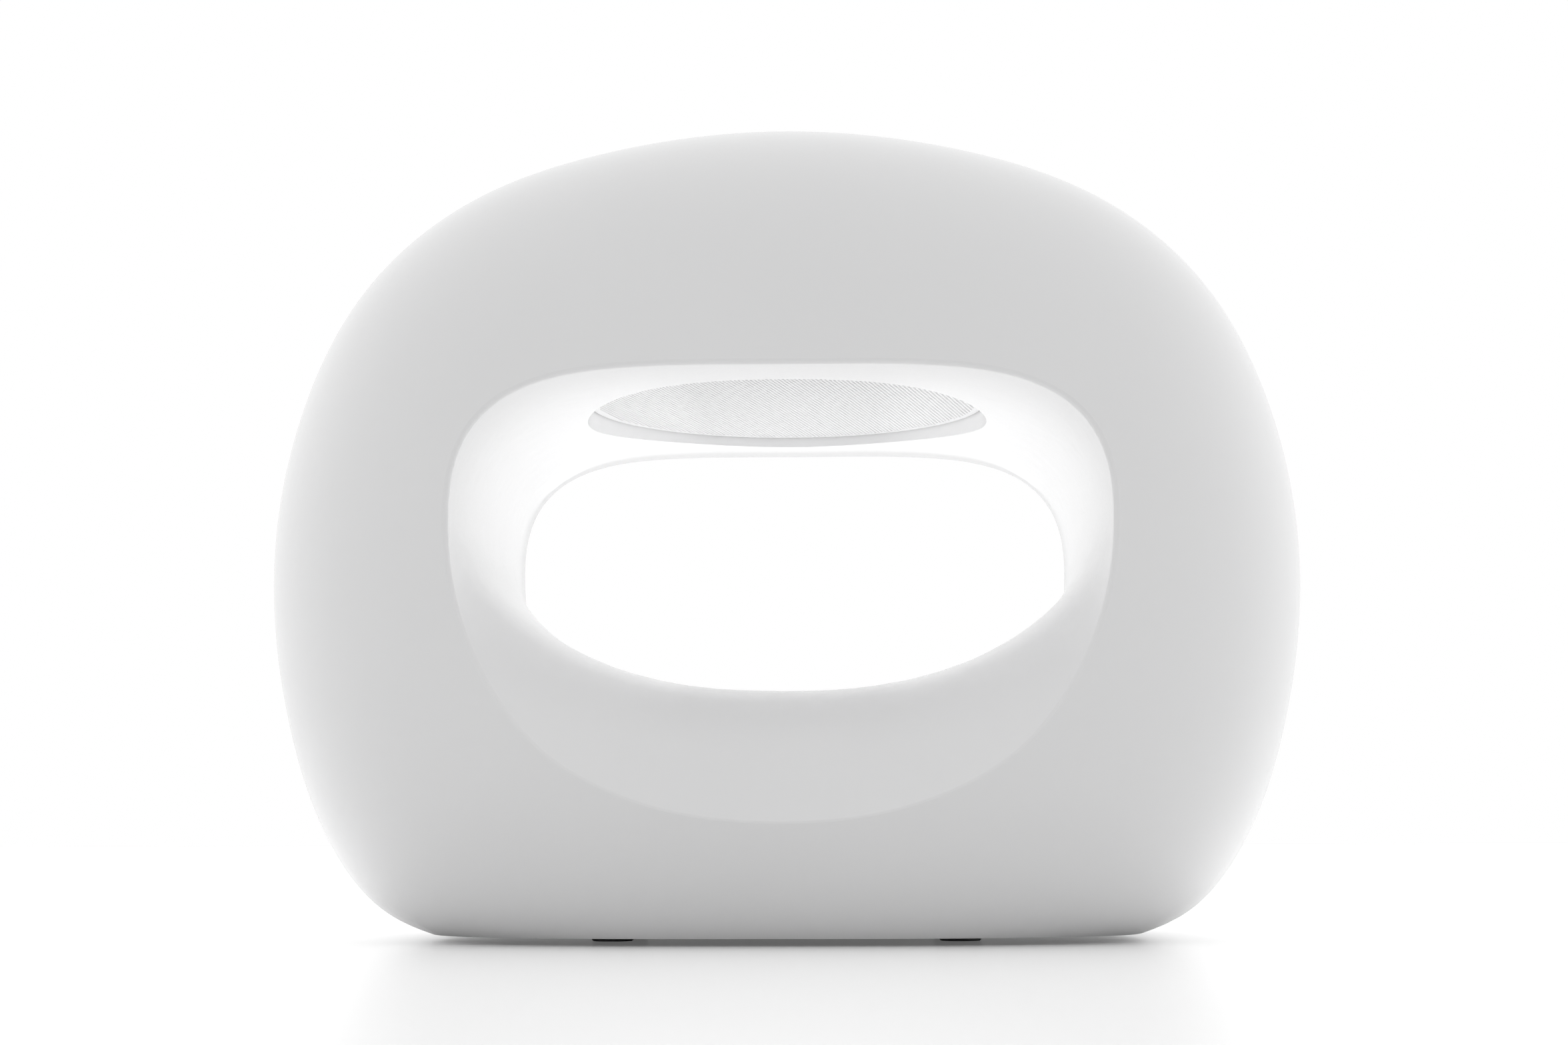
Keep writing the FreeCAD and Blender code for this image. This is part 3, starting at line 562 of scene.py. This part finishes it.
node["driver_tag_strip"].material_slots[0].material = ribbed(
    "fibre_board_pressed", board_brown, roughness=0.60, pitch=0.0004, depth=0.00002, metallic=0.0,
    directions=("X", "Z"),
)
node["terminal_block"].material_slots[0].material = moulded_plastic(
    "block_nylon_satin", block_white, roughness=0.42, grain=0.0007, depth=0.00003
)
node["terminal_screws"].material_slots[0].material = zinc_plate
node["driver_cable"].material_slots[0].material = moulded_plastic(
    "cable_jacket_matt", jacket_black, roughness=0.48, grain=0.0010, depth=0.00003
)


# Carrier ring
# A black moulded ring on the ledge round the driver, with a foot for its six stainless screws. The grille
# is pressed over it.

ring_black = (0.020, 0.020, 0.021)

node["grille_ring"].material_slots[0].material = moulded_plastic(
    "ring_abs", ring_black, roughness=0.45, grain=0.0010, depth=0.00004
)
node["grille_ring_screws"].material_slots[0].material = stainless_steel


# Grille
# Steel sheet punched with fine staggered holes, its edge drawn up into a rim and powder coated white. The
# rim is pressed over the carrier ring, a few millimetres inside the mouth of the recess.

grille_radius = 0.0905
grille_face = 0.2402
grille_sheet = 0.0012
grille_rim = 0.0080
grille_bend = 0.0010
bend_steps = 4
rim_corners = 160
hole_pitch = 0.0020
hole_radius = 0.00068
hole_turn = math.radians(16.5)
punched_radius = 0.0863
grille_white = (0.78, 0.78, 0.783)

# One cell: the edge of a hole, three bridges to the next holes and the two corners between the bridges
bridge = hole_pitch - hole_radius * math.sqrt(3)
slack = hole_radius / 10
bpy.ops.mesh.primitive_circle_add(vertices=6, radius=hole_radius)
grille = bpy.context.object
grille.name = "perforated_grille"
for side in (0, 1, 2):
    outward = Vector((math.cos(side * math.pi / 3), math.sin(side * math.pi / 3), 0))
    deselect_mesh(edges=True)
    for edge in grille.data.edges:
        ends = [grille.data.vertices[v].co for v in edge.vertices]
        middle = (ends[0] + ends[1]) / 2
        edge.select = (middle - outward * hole_radius * math.sqrt(0.75)).length < slack
    bpy.ops.object.mode_set(mode="EDIT")
    bpy.ops.mesh.extrude_region_move(TRANSFORM_OT_translate={"value": outward * bridge})
for side in (0.5, 1.5):
    outward = Vector((math.cos(side * math.pi / 3), math.sin(side * math.pi / 3), 0))
    bpy.context.tool_settings.mesh_select_mode = (True, False, False)
    bpy.ops.mesh.select_all(action="DESELECT")
    bpy.ops.object.mode_set(mode="OBJECT")
    for vertex in grille.data.vertices:
        away = vertex.co - outward * hole_pitch / math.sqrt(3)
        vertex.select = away.length < bridge / math.sqrt(3) + slack
    bpy.ops.object.mode_set(mode="EDIT")
    bpy.ops.mesh.edge_face_add()
bpy.ops.object.mode_set(mode="OBJECT")
grille.vertex_groups.new(name="hole").add(range(len(grille.data.vertices)), 1.0, "REPLACE")

# The cell is repeated along two directions of the lattice
rows = math.ceil(punched_radius / (hole_pitch * math.sqrt(3) / 2)) + 1
columns = math.ceil(punched_radius / hole_pitch + rows / 2) + 1
along = Vector((math.cos(hole_turn), math.sin(hole_turn), 0)) * hole_pitch
across = Vector((math.cos(hole_turn + math.pi / 3), math.sin(hole_turn + math.pi / 3), 0)) * hole_pitch
grille.location = Vector((0, 0, grille_face)) - columns * along - rows * across
grille.rotation_euler = (0, 0, hole_turn)
bpy.ops.object.transform_apply(location=True, rotation=True, scale=True)
for name, step, count in (("one_row", along, columns), ("all_rows", across, rows)):
    repeat = grille.modifiers.new(name, "ARRAY")
    repeat.use_relative_offset = False
    repeat.use_constant_offset = True
    repeat.constant_offset_displace = step
    repeat.count = 2 * count + 1
    bpy.ops.object.modifier_apply(modifier=name)

# Only the bridges and corners that touch a hole inside the punched circle stay
sheet = grille.data
points = np.zeros(len(sheet.vertices) * 3)
sheet.vertices.foreach_get("co", points)
lattice = np.array([[along.x, across.x], [along.y, across.y]])
steps = np.round(np.linalg.inv(lattice) @ points.reshape(-1, 3)[:, :2].T)
inside = np.hypot(*(lattice @ steps)) <= punched_radius
corners = np.zeros(len(sheet.loops), dtype=int)
sheet.loops.foreach_get("vertex_index", corners)
starts = np.zeros(len(sheet.polygons), dtype=int)
sheet.polygons.foreach_get("loop_start", starts)
kept = np.maximum.reduceat(inside[corners], starts)
grille.vertex_groups.new(name="border").add(np.nonzero(~inside)[0].tolist(), 1.0, "REPLACE")
deselect_mesh(faces=True)
sheet.polygons.foreach_set("select", ~kept)
bpy.ops.object.mode_set(mode="EDIT")
bpy.ops.mesh.delete(type="FACE")
bpy.ops.mesh.select_all(action="SELECT")
bpy.ops.mesh.remove_doubles(threshold=seam_weld)
bpy.ops.mesh.delete_loose()

# The plain border out to a circle, then the bend and the rim drawn up from it
bpy.context.tool_settings.mesh_select_mode = (True, False, False)
bpy.ops.mesh.primitive_circle_add(
    vertices=rim_corners, radius=grille_radius - grille_bend, location=(0, 0, grille_face)
)
bpy.ops.object.vertex_group_set_active(group="border")
bpy.ops.object.vertex_group_select()
bpy.ops.mesh.fill(use_beauty=True)
bpy.context.tool_settings.mesh_select_mode = (False, True, False)
bpy.ops.mesh.select_all(action="DESELECT")
bpy.ops.mesh.select_non_manifold(
    extend=False, use_multi_face=False, use_non_contiguous=False, use_verts=False
)
bpy.ops.object.vertex_group_set_active(group="hole")
bpy.ops.object.vertex_group_deselect()
rim_profile = []
for step in range(bend_steps + 1):
    angle = math.pi / 2 * step / bend_steps
    rim_profile.append((
        grille_radius - grille_bend * (1 - math.sin(angle)), grille_bend * (1 - math.cos(angle))
    ))
draw_out((*rim_profile, (grille_radius, grille_rim)))
bpy.ops.mesh.select_all(action="SELECT")
bpy.ops.mesh.normals_make_consistent(inside=False)
bpy.ops.object.mode_set(mode="OBJECT")
if sheet.polygons[0].normal.z > 0:
    sheet.flip_normals()
gauge = grille.modifiers.new("gauge", "SOLIDIFY")
gauge.thickness = grille_sheet
gauge.offset = -1
gauge.use_even_offset = True
bpy.ops.object.modifier_apply(modifier="gauge")
bpy.ops.object.shade_smooth_by_angle(angle=soft_angle)
grille.data.materials.append(moulded_plastic(
    "grille_coat", grille_white, roughness=0.42, grain=0.0004, depth=0.00002
))
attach(grille, "housing")
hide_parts("speaker_grille")
bpy.ops.object.select_all(action="DESELECT")


# Base cover
# A flat plate of light grey plastic, let into the underside over the service opening. It bears on a rubber
# seal, and six countersunk stainless screws with a cross recess go up into brass inserts.

cover_grey = (0.50, 0.50, 0.505)
cover_screw_places = (
    (0.052142, 0.034142), (0.052142, -0.034142), (-0.052142, 0.034142), (-0.052142, -0.034142),
    (0.0, 0.040), (0.0, -0.040),
)
screw_corners = 40
recess_share = 0.60
recess_width = 0.00105
recess_depth = 0.0013
recess_taper = 0.6


def cross_screw(name, profile, head_radius, places):
    """Screws that point up: turned to the profile, with a cross sunk in the head, one at each place."""
    radius, height = profile[0]
    bpy.ops.mesh.primitive_circle_add(
        vertices=screw_corners, radius=radius, location=(0, 0, height), fill_type="NGON"
    )
    screw = bpy.context.object
    screw.name = name
    bpy.ops.object.transform_apply(location=True, rotation=True, scale=True)
    bpy.ops.object.mode_set(mode="EDIT")
    bpy.context.tool_settings.mesh_select_mode = (False, True, False)
    bpy.ops.mesh.select_all(action="DESELECT")
    bpy.ops.mesh.select_non_manifold(extend=False)
    draw_out(profile)
    bpy.ops.mesh.edge_face_add()
    bpy.ops.mesh.select_all(action="SELECT")
    bpy.ops.mesh.normals_make_consistent(inside=False)
    bpy.ops.object.mode_set(mode="OBJECT")
    for turn in (0, math.pi / 2):
        bpy.ops.mesh.primitive_cube_add(size=1, location=(0, 0, height), rotation=(0, 0, turn))
        arm = bpy.context.object
        arm.scale = (2 * recess_share * head_radius, recess_width, 2 * recess_depth)
        bpy.ops.object.transform_apply(location=True, rotation=True, scale=True)
        deselect_mesh(faces=True)
        for face in arm.data.polygons:
            face.select = face.normal.z > 0.9
        bpy.ops.object.mode_set(mode="EDIT")
        bpy.ops.transform.resize(value=(recess_taper, recess_taper, 1), center_override=(0, 0, 0))
        bpy.ops.object.mode_set(mode="OBJECT")
        bpy.ops.object.select_all(action="DESELECT")
        screw.select_set(True)
        bpy.context.view_layer.objects.active = screw
        cut = screw.modifiers.new("recess", "BOOLEAN")
        cut.operation = "DIFFERENCE"
        cut.solver = "EXACT"
        cut.object = arm
        bpy.ops.object.modifier_apply(modifier="recess")
        bpy.data.objects.remove(arm)
    copies = []
    for x, y in places:
        copy = screw.copy()
        copy.data = screw.data.copy()
        copy.data.transform(Matrix.Translation((x, y, 0)))
        bpy.context.scene.collection.objects.link(copy)
        copies.append(copy)
    bpy.data.objects.remove(screw)
    bpy.ops.object.select_all(action="DESELECT")
    for copy in copies:
        copy.select_set(True)
    bpy.context.view_layer.objects.active = copies[0]
    bpy.ops.object.join()
    piece = bpy.context.object
    piece.name = name
    bpy.ops.object.shade_smooth_by_angle(angle=crisp_angle)
    piece.data.materials.append(stainless_steel)
    bpy.ops.object.select_all(action="DESELECT")
    return piece


# Radius and height: the countersunk head's face and edge, the shank and its point
cover_screw_profile = (
    (0.00355, 0.0030), (0.00370, 0.00312), (0.00370, 0.0032), (0.00185, 0.0050), (0.00185, 0.0114),
    (0.00120, 0.0120),
)
cover_screws = cross_screw(
    "cover_screws_cross", cover_screw_profile, head_radius=0.0037, places=cover_screw_places
)
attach(cover_screws, "housing")
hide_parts("base_screws")
node["base_cover"].material_slots[0].material = moulded_plastic(
    "cover_plastic_grey", cover_grey, roughness=0.48, grain=0.0010, depth=0.00006
)
node["base_seal"].material_slots[0].material = black_rubber


# Feet
# Four round feet of grey rubber let into the underside, each held by a pan head screw sunk in its middle.
# They lift the body 3 mm, and the dark gap under it shows all round.

foot_grey = (0.40, 0.40, 0.405)
foot_places = ((0.075, 0.036), (0.075, -0.036), (-0.075, 0.036), (-0.075, -0.036))

# Radius and height: the pan head's face, its rounded edge, the shank and its point
foot_screw_profile = (
    (0.0028, 0.0010), (0.0032, 0.0012), (0.0034, 0.0016), (0.0034, 0.0030), (0.0017, 0.0030),
    (0.0017, 0.0104), (0.0011, 0.0110),
)
foot_screws = cross_screw(
    "foot_screws_cross", foot_screw_profile, head_radius=0.0034, places=foot_places
)
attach(foot_screws, "housing")
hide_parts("foot_screws")
node["rubber_feet"].material_slots[0].material = rubber("foot_rubber", foot_grey)
